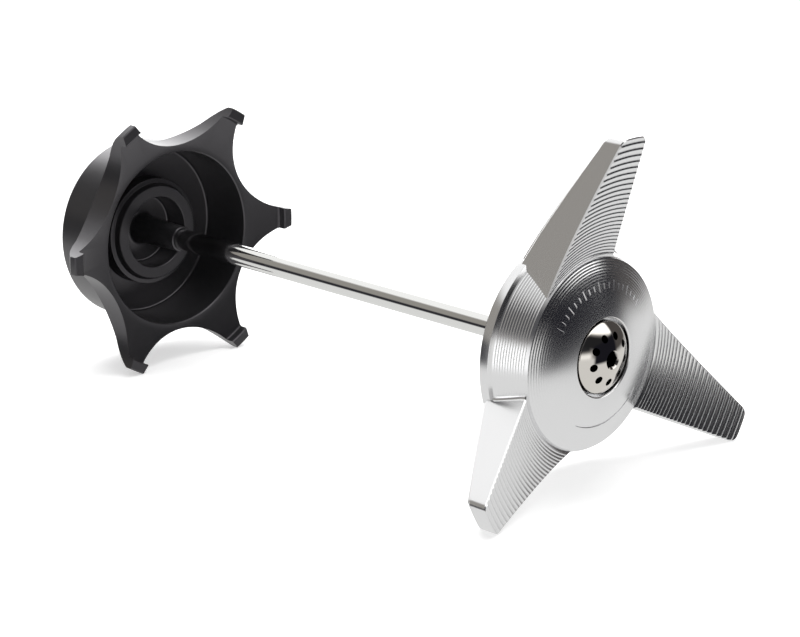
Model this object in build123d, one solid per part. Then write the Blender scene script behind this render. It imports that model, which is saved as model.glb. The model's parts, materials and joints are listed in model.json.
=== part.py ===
from build123d import *
import math
import os

# Rear axle slider: a three-winged spinner on the wheel side, a six-lobed cup on the
# sprocket side, and a long bolt through the hollow axle that pulls the cup towards the
# spinner. Millimetres. Every piece is built round the axle line, which is local Z: Z = 0
# at the mouth of the cup, Z grows towards the spinner, and local X points up. At the end
# the set is laid down so that it stands on its four lowest feet, with the origin under
# the middle of its bounding box.

# Driving sizes: long bolt
ROD_D = 10.0
ROD_CLEARANCE = 0.05
SHOULDER_CLEARANCE = 0.1
SHOULDER_BEVEL = 0.8
THREAD_D = 8.0
THREAD_CLEARANCE = 0.05
THREAD_ENGAGEMENT = 21.0
THREAD_CHAMFER = 0.8
THREAD_RUNOUT = 2.0

# Driving sizes: distance from the cup's mouth to the back of the spinner
MOUTH_TO_SPINNER = 238.8

# Driving sizes: spinner body
RIM_R = 46.0
RIM_WIDTH = 5.0
RIM_CHAMFER = 0.8
RIM_BEVEL_R = 1.4
RIM_BEVEL_Z = 1.0
BAND_HEIGHT = 12.8
BAND_TAPER = 4.4
BAND_STEPS = 12
CROWN_BEVEL_R = 0.8
CROWN_BEVEL_Z = 1.3
CROWN_RISE = 5.7
CROWN_BULGE = 0.8
REGISTER_LAND = 10.0
REGISTER_DEPTH = 5.0
REGISTER_BEVEL = 1.0

# Driving sizes: recess for the bolt's head
HEAD_GAP = 1.2
RECESS_DEPTH = 6.4
RECESS_EDGE = 0.5

# Driving sizes: wings
WING_COUNT = 3
WING_REACH = 45.0
WING_FRONT_SHARE = 0.8
WING_FRONT_RISE = 18.2
WING_REAR_START_Z = 1.2
WING_TIP_DEPTH = 10.0
WING_FLAT_FOOT_V = 11.5
WING_FLAT_TIP_V = 7.8
WING_SLANT_FOOT_ANGLE = 43.9
WING_SLANT_TIP_DROP = 1.5
WING_SLANT_TIP_V = 7.4
WING_CORNER_R = 3.5
WING_ROOT_FILLET = 2.4
WING_FRONT_CHAMFER = 0.9
WING_REAR_CHAMFER = 1.6
TERRACE_COUNT = 25
TERRACE_START = 1.3

# Driving sizes: bolt's head
HEAD_R = 15.0
HEAD_SEAT_CLEARANCE = 0.05
HEAD_EDGE_HEIGHT = 5.8
HEAD_EDGE_BEVEL = 0.4
HEAD_DOME_R = 24.0
HEAD_HOLES = 9
HEAD_HOLE_TURN = 20.0
HEAD_HOLE_D = 3.2
HEAD_HOLE_CIRCLE_R = 9.6
HEAD_HOLE_DEPTH = 5.0
HEX_FLATS = 6.0
HEX_DEPTH = 6.0
HEX_MOUTH_R = 3.9
COLLAR_LENGTH = 6.0
STUD_D = 6.0
STUD_LENGTH = 15.0
STUD_CHAMFER = 0.6
STUD_CLEARANCE = 0.05
STUD_HOLE_RUNOUT = 2.0

# Driving sizes: cup
CUP_MOUTH_R = 42.0
CUP_MOUTH_CHAMFER = 0.5
CUP_DRAFT = 1.0
CUP_DEPTH = 27.0
CUP_FLOOR_BEVEL = 0.8
CUP_BACK = 8.0
CUP_WALL = 3.0
CUP_BACK_DRAFT = 1.6
CUP_BACK_BEVEL = 1.4

# Driving sizes: lobes round the cup
LOBE_COUNT = 6
LOBE_REACH = 22.0
LOBE_ROOT_DROP = 14.0
LOBE_MID_DROP = 6.6
LOBE_REAR_SHARE = 0.785
LOBE_REAR_DROP = 2.3
LOBE_EDGE_Z = 3.8
LOBE_FACE_RISE = 3.3
SCALLOP_STANDOFF = 16.0
SCALLOP_MARGIN = 3.4
LIP_TOP = 7.6
LIP_WIDTH = 5.0
LIP_BEVEL = 0.8
LIP_EDGE = 0.5

# Driving sizes: boss and post inside the cup
LEDGE_R = 26.0
LEDGE_DROP = 19.0
LEDGE_LAND = 2.2
SEAT_INSET = 3.2
SEAT_WIDTH = 5.5
SEAT_DROP = 16.0
SEAT_EDGE = 0.3
WELL_DRAFT = 0.7
WELL_DEPTH = 28.5
WELL_BEVEL = 0.7
POST_TOP_D = 12.0
POST_FOOT_D = 14.0
POST_PROUD = 3.0
POST_FOOT_BEVEL = 1.3
POST_CHAMFER = 0.5

# Tolerance for finding an edge by its place
EDGE_MATCH = 0.6

# Places along the axle and radii, worked out from the sizes
ROD_R = ROD_D / 2
ROD_BORE_R = ROD_R + ROD_CLEARANCE
THREAD_R = THREAD_D / 2
STUD_R = STUD_D / 2
POST_TOP_R = POST_TOP_D / 2
POST_FOOT_R = POST_FOOT_D / 2
REGISTER_R = RIM_R - REGISTER_LAND
REGISTER_FLOOR = MOUTH_TO_SPINNER + REGISTER_DEPTH
RIM_FRONT = MOUTH_TO_SPINNER + RIM_WIDTH
BAND_BACK = RIM_FRONT + RIM_BEVEL_Z
BAND_FRONT = BAND_BACK + BAND_HEIGHT
BAND_FOOT_R = RIM_R - RIM_BEVEL_R
BAND_TOP_R = BAND_FOOT_R - BAND_TAPER
CROWN_EDGE_R = BAND_TOP_R - CROWN_BEVEL_R
CROWN_EDGE = BAND_FRONT + CROWN_BEVEL_Z
CROWN_TOP = CROWN_EDGE + CROWN_RISE
RECESS_R = HEAD_R + HEAD_GAP
RECESS_FLOOR = CROWN_TOP - RECESS_DEPTH
WING_TIP_R = RIM_R + WING_REACH
WING_FRONT_START = BAND_FRONT + CROWN_BEVEL_Z * WING_FRONT_SHARE
WING_FRONT_SLOPE = WING_FRONT_RISE / (WING_TIP_R - BAND_TOP_R)
WING_REAR_START = MOUTH_TO_SPINNER + WING_REAR_START_Z
WING_REAR_SLOPE = (WING_FRONT_START + WING_FRONT_RISE - WING_TIP_DEPTH - WING_REAR_START) / WING_REACH
WING_FLAT_SLOPE = (WING_FLAT_TIP_V - WING_FLAT_FOOT_V) / (WING_TIP_R - BAND_TOP_R)
WING_SLANT_FOOT_U = BAND_TOP_R * math.cos(math.radians(WING_SLANT_FOOT_ANGLE))
WING_SLANT_FOOT_V = BAND_TOP_R * math.sin(math.radians(WING_SLANT_FOOT_ANGLE))
WING_SLANT_TIP_U = WING_TIP_R - WING_SLANT_TIP_DROP
TERRACE_FIRST_R = BAND_TOP_R + TERRACE_START
HEAD_SEAT = RECESS_FLOOR + HEAD_SEAT_CLEARANCE
HEAD_EDGE = HEAD_SEAT + HEAD_EDGE_HEIGHT
HEAD_DOME_CENTRE = HEAD_EDGE - math.sqrt(HEAD_DOME_R**2 - HEAD_R**2)
HEAD_TOP = HEAD_DOME_CENTRE + HEAD_DOME_R
HEX_MOUTH_RIM = HEAD_DOME_CENTRE + math.sqrt(HEAD_DOME_R**2 - HEX_MOUTH_R**2)
ROD_SHOULDER = POST_PROUD + SHOULDER_CLEARANCE
ROD_START = POST_PROUD - THREAD_ENGAGEMENT
ROD_END = HEAD_SEAT - COLLAR_LENGTH
THREAD_HOLE_END = ROD_START - THREAD_RUNOUT
CUP_BACK_Z = -CUP_DEPTH - CUP_BACK
CUP_FLOOR_R = CUP_MOUTH_R - CUP_DRAFT
CUP_OUTER_R = CUP_MOUTH_R + CUP_WALL
CUP_BACK_R = CUP_OUTER_R - CUP_BACK_DRAFT
LOBE_TIP_R = CUP_OUTER_R + LOBE_REACH
LOBE_MID_R = CUP_OUTER_R + LOBE_REACH / 2
LOBE_REAR_R = CUP_OUTER_R + LOBE_REACH * LOBE_REAR_SHARE
LIP_INNER_R = LOBE_TIP_R - LIP_WIDTH
SCALLOP_CENTRE_R = LOBE_TIP_R + SCALLOP_STANDOFF
SCALLOP_R = SCALLOP_CENTRE_R - CUP_MOUTH_R - SCALLOP_MARGIN
SEAT_OUTER_R = LEDGE_R - SEAT_INSET
SEAT_INNER_R = SEAT_OUTER_R - SEAT_WIDTH
WELL_FLOOR_R = SEAT_INNER_R - WELL_DRAFT


def ring(face):
    """Turn an outline, drawn as (radius, height), into a solid of revolution."""
    return revolve(Plane.XZ * face, Axis.Z)


def outline(*edges):
    """Close a chain of edges into a face."""
    return make_face([edge for piece in edges for edge in piece.edges()])


def bar(radius, bottom, top):
    """A plain round bar between two heights on the axle line."""
    return Pos(0, 0, bottom) * extrude(Circle(radius), top - bottom)


def around(count, shape):
    """Equal copies of a shape round the axle line."""
    return [Rot(0, 0, n * 360 / count) * shape for n in range(count)]


def bevelled(face, corners):
    """Break corners of an outline, each given as (radius, height) and its bevel."""
    for place, size in corners:
        corner = face.vertices().sort_by_distance(Vector(*place))[0]
        face = chamfer(corner, size)
    return face


# Spinner

def spinner_body():
    """Turned body: rim, side band, convex crown, head recess and rear register."""
    crown_start = (CROWN_EDGE_R, CROWN_EDGE)
    crown_end = (RECESS_R, CROWN_TOP)
    crown_middle = (
        (crown_start[0] + crown_end[0]) / 2,
        (crown_start[1] + crown_end[1]) / 2 + CROWN_BULGE,
    )
    crown = Polyline(crown_start, crown_middle, crown_end)
    rest = Polyline(
        crown_end,
        (RECESS_R, RECESS_FLOOR),
        (ROD_BORE_R, RECESS_FLOOR),
        (ROD_BORE_R, REGISTER_FLOOR),
        (REGISTER_R, REGISTER_FLOOR),
        (REGISTER_R, MOUTH_TO_SPINNER),
        (RIM_R, MOUTH_TO_SPINNER),
        (RIM_R, RIM_FRONT),
        (BAND_FOOT_R, BAND_BACK),
        (BAND_TOP_R, BAND_FRONT),
        crown_start,
    )
    corners = [
        (crown_end, RECESS_EDGE),
        ((RIM_R, MOUTH_TO_SPINNER), RIM_CHAMFER),
        ((REGISTER_R, REGISTER_FLOOR), REGISTER_BEVEL),
    ]
    return ring(bevelled(outline(crown, rest), corners))


def band_cutter():
    """Ring that leaves fine stairs in the side band."""
    step_z = BAND_HEIGHT / BAND_STEPS
    step_r = BAND_TAPER / BAND_STEPS
    points = []
    for step in range(BAND_STEPS):
        radius = BAND_FOOT_R - step * step_r
        height = BAND_BACK + step * step_z
        points.append((radius, height))
        points.append((radius - step_r, height))
    points.append((BAND_TOP_R, BAND_FRONT))
    points.append((RIM_R, BAND_FRONT))
    points.append((RIM_R, BAND_BACK))
    return ring(make_face(Polyline(*points, close=True)))


def band_cone():
    """The side band's cone, carried on past the back of the rim and the wing tips."""
    slope = BAND_TAPER / BAND_HEIGHT
    bottom = MOUTH_TO_SPINNER - RIM_WIDTH
    top = wing_front_z(WING_TIP_R)
    section = Polyline(
        (0, bottom),
        (BAND_TOP_R + slope * (BAND_FRONT - bottom), bottom),
        (BAND_TOP_R + slope * (BAND_FRONT - top), top),
        (0, top),
        close=True,
    )
    return ring(make_face(section))


def wing_front_z(radius):
    """Height of the untouched front of a wing at a radius."""
    return WING_FRONT_START + WING_FRONT_SLOPE * (radius - BAND_TOP_R)


def wing_rear_z(radius):
    """Height of the back of a wing at a radius."""
    return WING_REAR_START + WING_REAR_SLOPE * (radius - RIM_R)


def wing_flat_v(reach):
    """How far the flat side of a wing stands off the wing's own radius."""
    return WING_FLAT_FOOT_V + WING_FLAT_SLOPE * (reach - BAND_TOP_R)


def wing_disc():
    """Solid of revolution between the front and rear cones of the wings."""
    inner_r = RECESS_R + HEAD_GAP
    section = Polyline(
        (inner_r, wing_front_z(inner_r)),
        (WING_TIP_R, wing_front_z(WING_TIP_R)),
        (WING_TIP_R, wing_rear_z(WING_TIP_R)),
        (RIM_R, wing_rear_z(RIM_R)),
        (BAND_TOP_R, wing_rear_z(RIM_R)),
        (BAND_TOP_R, REGISTER_FLOOR + WING_ROOT_FILLET),
        (inner_r, REGISTER_FLOOR + WING_ROOT_FILLET),
        close=True,
    )
    return Rot(0, 0, 180) * ring(make_face(section))


def wing_outline():
    """Plan of one wing: one side runs nearly along the radius, the other slants to the tip."""
    slope = (WING_SLANT_TIP_V - WING_SLANT_FOOT_V) / (WING_SLANT_TIP_U - WING_SLANT_FOOT_U)
    foot_u = BAND_TOP_R / 2
    foot_v = WING_SLANT_FOOT_V + slope * (foot_u - WING_SLANT_FOOT_U)
    reach_u = WING_TIP_R + WING_CORNER_R
    reach_v = WING_SLANT_FOOT_V + slope * (reach_u - WING_SLANT_FOOT_U)
    blade = Polyline(
        (foot_u, -wing_flat_v(foot_u)),
        (reach_u, -wing_flat_v(reach_u)),
        (reach_u, reach_v),
        (foot_u, foot_v),
        close=True,
    )
    trimmed = make_face(blade) & Circle(WING_TIP_R)
    tip_corners = [
        corner for corner in trimmed.vertices()
        if math.hypot(corner.X, corner.Y) > WING_TIP_R - EDGE_MATCH
    ]
    return fillet(tip_corners, WING_CORNER_R)


def wing_prism():
    """The plan of the wing carried through the full height of the spinner."""
    bottom = MOUTH_TO_SPINNER - RIM_WIDTH
    return Pos(0, 0, bottom) * extrude(wing_outline(), wing_front_z(WING_TIP_R) - bottom)


def cone_edges(blade, height_at):
    """The outer edges of a blade that lie on its front or its back cone."""
    picked = []
    for edge in blade.edges():
        middle = edge @ 0.5
        radius = math.hypot(middle.X, middle.Y)
        clear_of_body = radius > RIM_R + EDGE_MATCH
        if clear_of_body and abs(middle.Z - height_at(radius)) < EDGE_MATCH:
            picked.append(edge)
    return picked


def wing_root():
    """Hollow blend between the flat side of a wing and the side band."""
    bare = band_cone() + wing_prism()
    corner = []
    for edge in bare.edges():
        middle = edge @ 0.5
        on_flat_side = abs(middle.Y + wing_flat_v(middle.X)) < EDGE_MATCH
        on_band = middle.X < RIM_R + WING_ROOT_FILLET
        if on_flat_side and on_band and edge.length > RIM_R / 2:
            corner.append(edge)
    return fillet(corner, WING_ROOT_FILLET) - bare


def root_shadow():
    """Stretch of the side band under a root blend, which stays without stairs."""
    plan = Polyline(
        (0, -wing_flat_v(0)),
        (RIM_R, -wing_flat_v(RIM_R)),
        (RIM_R, -wing_flat_v(RIM_R) - WING_ROOT_FILLET),
        (0, -wing_flat_v(0) - WING_ROOT_FILLET),
        close=True,
    )
    return Pos(0, 0, BAND_BACK) * extrude(make_face(plan), BAND_HEIGHT)


def wing():
    """One wing with its edges broken, before its terraces are cut."""
    blade = wing_prism() & wing_disc()
    blade = chamfer(cone_edges(blade, wing_front_z), WING_FRONT_CHAMFER)
    blade = chamfer(cone_edges(blade, wing_rear_z), WING_REAR_CHAMFER)
    return blade + (wing_root() & wing_disc())


def terrace_cutter():
    """Ring that leaves concentric stairs in the fronts of the wings, wider towards the tip."""
    ratio = (WING_TIP_R / TERRACE_FIRST_R) ** (1 / TERRACE_COUNT)
    points = []
    for step in range(TERRACE_COUNT):
        inner = TERRACE_FIRST_R * ratio**step
        points.append((inner, wing_front_z(inner)))
        points.append((inner * ratio, wing_front_z(inner)))
    points.append((WING_TIP_R, wing_front_z(WING_TIP_R) + WING_FRONT_CHAMFER))
    points.append((TERRACE_FIRST_R, wing_front_z(WING_TIP_R) + WING_FRONT_CHAMFER))
    return ring(make_face(Polyline(*points, close=True)))


def build_spinner():
    """Three wings on the turned body, cut from one billet."""
    first, *others = around(WING_COUNT, wing())
    blades = first + others
    stairs = band_cutter() - blades - around(WING_COUNT, root_shadow())
    blank = spinner_body() - stairs
    return blank + blades - terrace_cutter()


# Bolt

def head_blank():
    """Turned blank of the head: dome, seat face, collar and the stud below it."""
    half_turn = math.asin(HEAD_R / HEAD_DOME_R) / 2
    dome_middle = (
        HEAD_DOME_R * math.sin(half_turn),
        HEAD_DOME_CENTRE + HEAD_DOME_R * math.cos(half_turn),
    )
    dome = ThreePointArc((HEAD_R, HEAD_EDGE), dome_middle, (0, HEAD_TOP))
    stud_end = ROD_END - STUD_LENGTH
    rest = Polyline(
        (0, HEAD_TOP),
        (0, stud_end),
        (STUD_R, stud_end),
        (STUD_R, ROD_END),
        (ROD_R, ROD_END),
        (ROD_R, HEAD_SEAT),
        (HEAD_R, HEAD_SEAT),
        (HEAD_R, HEAD_EDGE),
    )
    corners = [((STUD_R, stud_end), STUD_CHAMFER), ((HEAD_R, HEAD_EDGE), HEAD_EDGE_BEVEL)]
    return ring(bevelled(outline(dome, rest), corners))


def hex_socket():
    """Cutter for the hex socket and the cone that opens its mouth."""
    hexagon = RegularPolygon(HEX_FLATS / 2, 6, major_radius=False)
    socket = Pos(0, 0, HEAD_TOP - HEX_DEPTH) * extrude(hexagon, HEX_DEPTH)
    mouth = Polyline(
        (0, HEX_MOUTH_RIM - HEX_MOUTH_R),
        (HEX_MOUTH_R, HEX_MOUTH_RIM),
        (HEX_MOUTH_R, HEAD_TOP),
        (0, HEAD_TOP),
        close=True,
    )
    return socket + ring(make_face(mouth))


def build_head_screw():
    """Domed head with a ring of blind holes, a hex socket, a collar and a threaded stud."""
    hole_floor = HEAD_DOME_CENTRE + math.sqrt(HEAD_DOME_R**2 - HEAD_HOLE_CIRCLE_R**2) - HEAD_HOLE_DEPTH
    hole = Pos(HEAD_HOLE_CIRCLE_R, 0, 0) * bar(HEAD_HOLE_D / 2, hole_floor, HEAD_TOP)
    holes = around(HEAD_HOLES, Rot(0, 0, HEAD_HOLE_TURN) * hole)
    return head_blank() - hex_socket() - holes


def build_rod():
    """Long rod: its thinner threaded end and shoulder for the cup, tapped end for the head."""
    hole_r = STUD_R + STUD_CLEARANCE
    hole_end = ROD_END - STUD_LENGTH - STUD_HOLE_RUNOUT
    section = Polyline(
        (0, ROD_START),
        (THREAD_R, ROD_START),
        (THREAD_R, ROD_SHOULDER),
        (ROD_R, ROD_SHOULDER),
        (ROD_R, ROD_END),
        (hole_r, ROD_END),
        (hole_r, hole_end),
        (0, hole_end),
        close=True,
    )
    corners = [((THREAD_R, ROD_START), THREAD_CHAMFER), ((ROD_R, ROD_SHOULDER), SHOULDER_BEVEL)]
    return ring(bevelled(make_face(section), corners))


# Cup

def cup_outside():
    """Corners of the cup's outside, from its back round the lobes to its dished face."""
    return [
        (0, CUP_BACK_Z),
        (CUP_BACK_R, CUP_BACK_Z),
        (CUP_OUTER_R, -LOBE_ROOT_DROP),
        (LOBE_MID_R, -LOBE_MID_DROP),
        (LOBE_REAR_R, -LOBE_REAR_DROP),
        (LOBE_TIP_R, LOBE_EDGE_Z),
        (LOBE_TIP_R, LIP_TOP),
        (LIP_INNER_R, LIP_TOP),
        (LIP_INNER_R, LOBE_FACE_RISE),
        (CUP_OUTER_R, 0),
    ]


def cup_inside():
    """Corners of the cup's inside: wall, ledge, bearing seat, well, post and its thread."""
    bore_r = THREAD_R + THREAD_CLEARANCE
    return [
        (CUP_MOUTH_R + CUP_MOUTH_CHAMFER, 0),
        (CUP_MOUTH_R, -CUP_MOUTH_CHAMFER),
        (CUP_FLOOR_R, -CUP_DEPTH),
        (LEDGE_R, -CUP_DEPTH),
        (LEDGE_R, -LEDGE_DROP),
        (LEDGE_R - LEDGE_LAND, -LEDGE_DROP),
        (SEAT_OUTER_R, -SEAT_DROP),
        (SEAT_INNER_R, -SEAT_DROP),
        (WELL_FLOOR_R, -WELL_DEPTH),
        (POST_FOOT_R, -WELL_DEPTH),
        (POST_TOP_R, POST_PROUD),
        (bore_r, POST_PROUD),
        (bore_r, THREAD_HOLE_END),
        (0, THREAD_HOLE_END),
    ]


def cup_blank():
    """The cup as it leaves the lathe, a full ring where its lobes will be."""
    section = make_face(Polyline(*cup_outside(), *cup_inside(), close=True))
    corners = [
        ((CUP_BACK_R, CUP_BACK_Z), CUP_BACK_BEVEL),
        ((LOBE_TIP_R, LIP_TOP), LIP_EDGE),
        ((LIP_INNER_R, LIP_TOP), LIP_EDGE),
        ((LIP_INNER_R, LOBE_FACE_RISE), LIP_BEVEL),
        ((CUP_FLOOR_R, -CUP_DEPTH), CUP_FLOOR_BEVEL),
        ((SEAT_OUTER_R, -SEAT_DROP), SEAT_EDGE),
        ((SEAT_INNER_R, -SEAT_DROP), SEAT_EDGE),
        ((WELL_FLOOR_R, -WELL_DEPTH), WELL_BEVEL),
        ((POST_FOOT_R, -WELL_DEPTH), POST_FOOT_BEVEL),
        ((POST_TOP_R, POST_PROUD), POST_CHAMFER),
    ]
    return ring(bevelled(section, corners))


def build_cap():
    """Cup with six hooked lobes, its bearing seat and its post, turned and milled in one."""
    scallop_height = LIP_TOP - CUP_BACK_Z
    scallop = Pos(SCALLOP_CENTRE_R, 0, CUP_BACK_Z) * extrude(Circle(SCALLOP_R), scallop_height)
    return cup_blank() - around(LOBE_COUNT, scallop)


# The set laid down on two wings and two lobes

def reach_below_axle(piece):
    """How far a piece reaches below the axle line while that line is level."""
    return -piece.bounding_box().min.X


def rest_pose(pieces):
    """Where the set lies: tipped until wings and lobes touch the floor, and centred."""
    foot_distance = (wing_front_z(WING_TIP_R) - WING_FRONT_CHAMFER) - (LIP_TOP - LIP_EDGE)
    foot_difference = reach_below_axle(pieces["cap"]) - reach_below_axle(pieces["spinner"])
    tilt = math.degrees(math.atan2(foot_difference, foot_distance))
    level = Plane(origin=(0, 0, 0), x_dir=(0, 0, 1), z_dir=(1, 0, 0)).location
    tipped = Rot(0, tilt, 0) * level
    box = Compound(children=[tipped * piece for piece in pieces.values()]).bounding_box()
    return Pos(-box.center().X, -box.center().Y, -box.min.Z) * tipped


PIECES = {
    "spinner": build_spinner(),
    "head_screw": build_head_screw(),
    "rod": build_rod(),
    "cap": build_cap(),
}
REST_POSE = rest_pose(PIECES)

os.makedirs("parts", exist_ok=True)
for name, piece in PIECES.items():
    export_step(REST_POSE * piece, f"parts/{name}.step")
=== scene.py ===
import json
import math
from typing import NamedTuple

import bmesh
import bpy
import numpy as np
from mathutils import Matrix, Vector


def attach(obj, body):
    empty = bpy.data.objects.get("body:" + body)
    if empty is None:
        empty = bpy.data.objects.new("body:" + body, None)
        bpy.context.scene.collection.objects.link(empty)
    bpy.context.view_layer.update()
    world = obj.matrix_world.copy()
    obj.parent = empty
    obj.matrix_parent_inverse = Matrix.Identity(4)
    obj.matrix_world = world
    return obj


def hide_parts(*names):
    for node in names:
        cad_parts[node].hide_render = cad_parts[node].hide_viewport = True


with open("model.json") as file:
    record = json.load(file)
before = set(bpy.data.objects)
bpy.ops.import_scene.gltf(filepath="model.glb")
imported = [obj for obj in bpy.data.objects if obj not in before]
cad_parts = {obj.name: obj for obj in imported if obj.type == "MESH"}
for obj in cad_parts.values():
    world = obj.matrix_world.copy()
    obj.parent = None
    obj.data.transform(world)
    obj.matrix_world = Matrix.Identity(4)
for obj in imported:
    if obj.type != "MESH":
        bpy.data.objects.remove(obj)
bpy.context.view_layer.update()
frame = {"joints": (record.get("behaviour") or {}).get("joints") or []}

# Every piece is built in metres round the axle line: local Z runs from the cup to the
# spinner, Z = 0 is the mouth of the cup, and local X points up. The sizes below are in
# millimetres and degrees, and the main ones are those of the part's source.
MM = 0.001

# Fineness of the meshes
SEGMENTS = 400
HEAD_SEGMENTS = 160
HOLE_SEGMENTS = 40
SOCKET_SEGMENTS = 96
ROD_SEGMENTS = 128
SCALLOP_SEGMENTS = 240
ROUNDING_STEP = 15
SPINNER_CREASE = 20
CREASE = 24

# Long bolt
ROD_R = 5.0
ROD_BORE_R = 5.05
ROD_START = -18.0
ROD_SHOULDER = 3.1
ROD_END = 252.25
SHOULDER_BEVEL = 0.8
THREAD_R = 4.0
THREAD_CHAMFER = 0.8
STUD_R = 3.0
STUD_LENGTH = 15.0
STUD_CHAMFER = 0.8
STUD_CLEARANCE = 0.05
STUD_HOLE_RUNOUT = 2.0

# Spinner body
RIM_R = 46.0
RIM_FRONT = 243.8
RIM_CHAMFER = 0.8
RIM_SOFT = 0.3
RIM_FRONT_SOFT = 0.25
SPINNER_BACK = 238.8
REGISTER_R = 36.0
REGISTER_FLOOR = 243.8
REGISTER_SOFT = 1.5
BAND_FOOT = (44.6, 244.8)
BAND_TOP = (40.2, 257.6)
BAND_STEPS = 12
BAND_DIVISIONS = 4
BAND_STEEPNESS = 0.36
RECESS_R = 16.2
RECESS_FLOOR = 258.2
RECESS_EDGE = 0.5
RECESS_EDGE_MIDDLE = (0.25, 0.15)
CROWN_EDGE = (39.4, 258.9)
CROWN_TOP = 264.6
CROWN_BULGE = 0.8
CROWN_ARC_STEPS = 40
CROWN_RINGS = 22
CROWN_DIVISIONS = 4
CROWN_STEEPNESS = 0.34
CROWN_FADE_START = 25.0
CROWN_FADE_WIDTH = 12.0

# Wings
WING_COUNT = 3
WING_TIP_R = 91.0
WING_FRONT_START = 258.64
WING_FRONT_SLOPE = 18.2 / 50.8
WING_REAR_START = 240.0
WING_REAR_SLOPE = 26.84 / 45
WING_FLAT_FOOT = (40.2, -11.5)
WING_FLAT_SLOPE = 3.7 / 50.8
WING_SLANT_FOOT = (28.97, 27.87)
WING_SLANT_TIP = (89.5, 7.4)
WING_CORNER_R = 3.5
WING_ROOT_FILLET = 2.4
WING_FRONT_CHAMFER = 0.9
WING_REAR_CHAMFER = 1.6
TERRACE_COUNT = 25
TERRACE_FIRST_R = 41.5
TERRACE_DIVISIONS = 6
TERRACE_STEEPNESS = 0.72
DISC_INNER_R = 20.0
DISC_BACK = REGISTER_FLOOR + 3.0

# Plan of a wing: where its runs of points begin and end, and how many points each has
PLAN_FLAT_START = 52.0
PLAN_FLAT_GAP = 6.0
PLAN_FLAT_POINTS = 40
PLAN_CORNER_POINTS = 9
PLAN_TIP_AIM = (WING_TIP_R - 0.05, 2.0)
PLAN_TIP_POINTS = 8
PLAN_TIP_ROUNDS = 20
PLAN_SLANT_AIM = 60.0
PLAN_SLANT_GAP = 2.0
PLAN_SLANT_POINTS = 50
PLAN_INNER = 24.0
PLAN_COVER = 2.0
BLEND_POINTS = 8
BLEND_LEAD_RADIANS = 0.12

# Blade of a wing: levels on its sides, and how far it stands past both faces
BLADE_SIDE_LEVELS = 9
BLADE_LIP = 0.3
BLADE_PAST = 4.0

# Engraved marks on the crown
MARK_R = 29.0
MARK_DEPTH = 0.4
MARK_PROUD = 1.0
TICK_STEP = 6.0
TICK_WIDTH = 0.8
TICK_LONG = 4.0
TICK_SHORT = 2.4
TICKS_EACH_WAY = 9
TICKS_PER_LONG = 3
SCALE_MIDDLE = 3.0
ARROW_START = 152.0
ARROW_NECK = 222.0
ARROW_BARBS = 222.05
ARROW_TIP = 231.0
ARROW_STEPS = 30
ARROW_LINE = 0.8
ARROW_WIDTH = 4.0
ARROW_POINT = 0.1

# Bolt's head
HEAD_R = 15.0
HEAD_SEAT = 258.25
HEAD_SEAT_SOFT = 0.3
HEAD_EDGE = 264.05
HEAD_EDGE_SOFT = 0.6
HEAD_DOME_R = 24.0
HEAD_DOME_Z = HEAD_EDGE - math.sqrt(HEAD_DOME_R**2 - HEAD_R**2)
HEAD_TOP = HEAD_DOME_Z + HEAD_DOME_R
HEAD_DOME_STEPS = 24
HEAD_HOLES = 9
HEAD_HOLE_TURN = 20.0
HEAD_HOLE_R = 1.6
HEAD_HOLE_CIRCLE_R = 9.6
HEAD_HOLE_DEPTH = 5.0
HEAD_HOLE_CONE = 0.8
HEAD_HOLE_PROUD = 3.0
HEX_FLATS = 6.0
HEX_DEPTH = 6.0
HEX_MOUTH_R = 3.9
HEX_PROUD = 2.0

# Cup
CUP_MOUTH_R = 42.0
CUP_MOUTH_CHAMFER = 0.5
CUP_DEPTH = 27.0
CUP_FLOOR_R = 41.0
CUP_FLOOR_SOFT = 1.2
CUP_OUTER_R = 45.0
CUP_BACK_R = 43.4
CUP_BACK_Z = -35.0
CUP_BACK_SOFT = 2.0
LOBE_COUNT = 6
LOBE_ROOT_DROP = 14.0
LOBE_ROOT_SOFT = 1.5
LOBE_REAR = (56.0, -6.6)
LOBE_REAR_BULGE = 1.2
LOBE_REAR_STEPS = 10
LOBE_TIP_R = 67.0
LOBE_EDGE_Z = 3.8
LOBE_FACE_RISE = 3.3
LIP_TOP = 7.6
LIP_INNER_R = 62.0
LIP_EDGE = 0.5
LIP_SOFT = 1.2
SCALLOP_CENTRE_R = 83.0
SCALLOP_MARGIN = 3.4
SCALLOP_R = SCALLOP_CENTRE_R - CUP_MOUTH_R - SCALLOP_MARGIN
SCALLOP_BACK = -40.0
SCALLOP_FRONT = 12.0
LEDGE_R = 26.0
LEDGE_DROP = 19.0
LEDGE_LAND = 2.2
LEDGE_FOOT_SOFT = 0.6
LEDGE_SOFT = 0.35
SEAT_OUTER_R = 22.8
SEAT_INNER_R = 17.3
SEAT_DROP = 16.0
SEAT_EDGE = 0.3
WELL_FLOOR_R = 16.6
WELL_DEPTH = 28.5
WELL_SOFT = 1.0
POST_FOOT_R = 7.0
POST_FOOT_SOFT = 1.8
POST_TOP_R = 6.0
POST_PROUD = 3.0
POST_CHAMFER = 0.5
POST_BORE_R = 4.05
POST_BORE_END = -20.0

# Photograph's camera in the axle frame, found by fitting the part's outlines to it
PHOTO_WIDTH = 800
PHOTO_FOCAL = 2190.17
CAMERA_TURN = (
    (0.1552, -0.6882, 0.7087),
    (-0.9787, -0.0098, 0.2048),
    (-0.1340, -0.7254, -0.6751),
)
CAMERA_SHIFT = (-106.23, -38.56, 1050.17)
CAMERA_UPRIGHT = 12.5


# Meshes

def link(name, data):
    piece = bpy.data.objects.new(name, data)
    bpy.context.scene.collection.objects.link(piece)
    return piece


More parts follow.
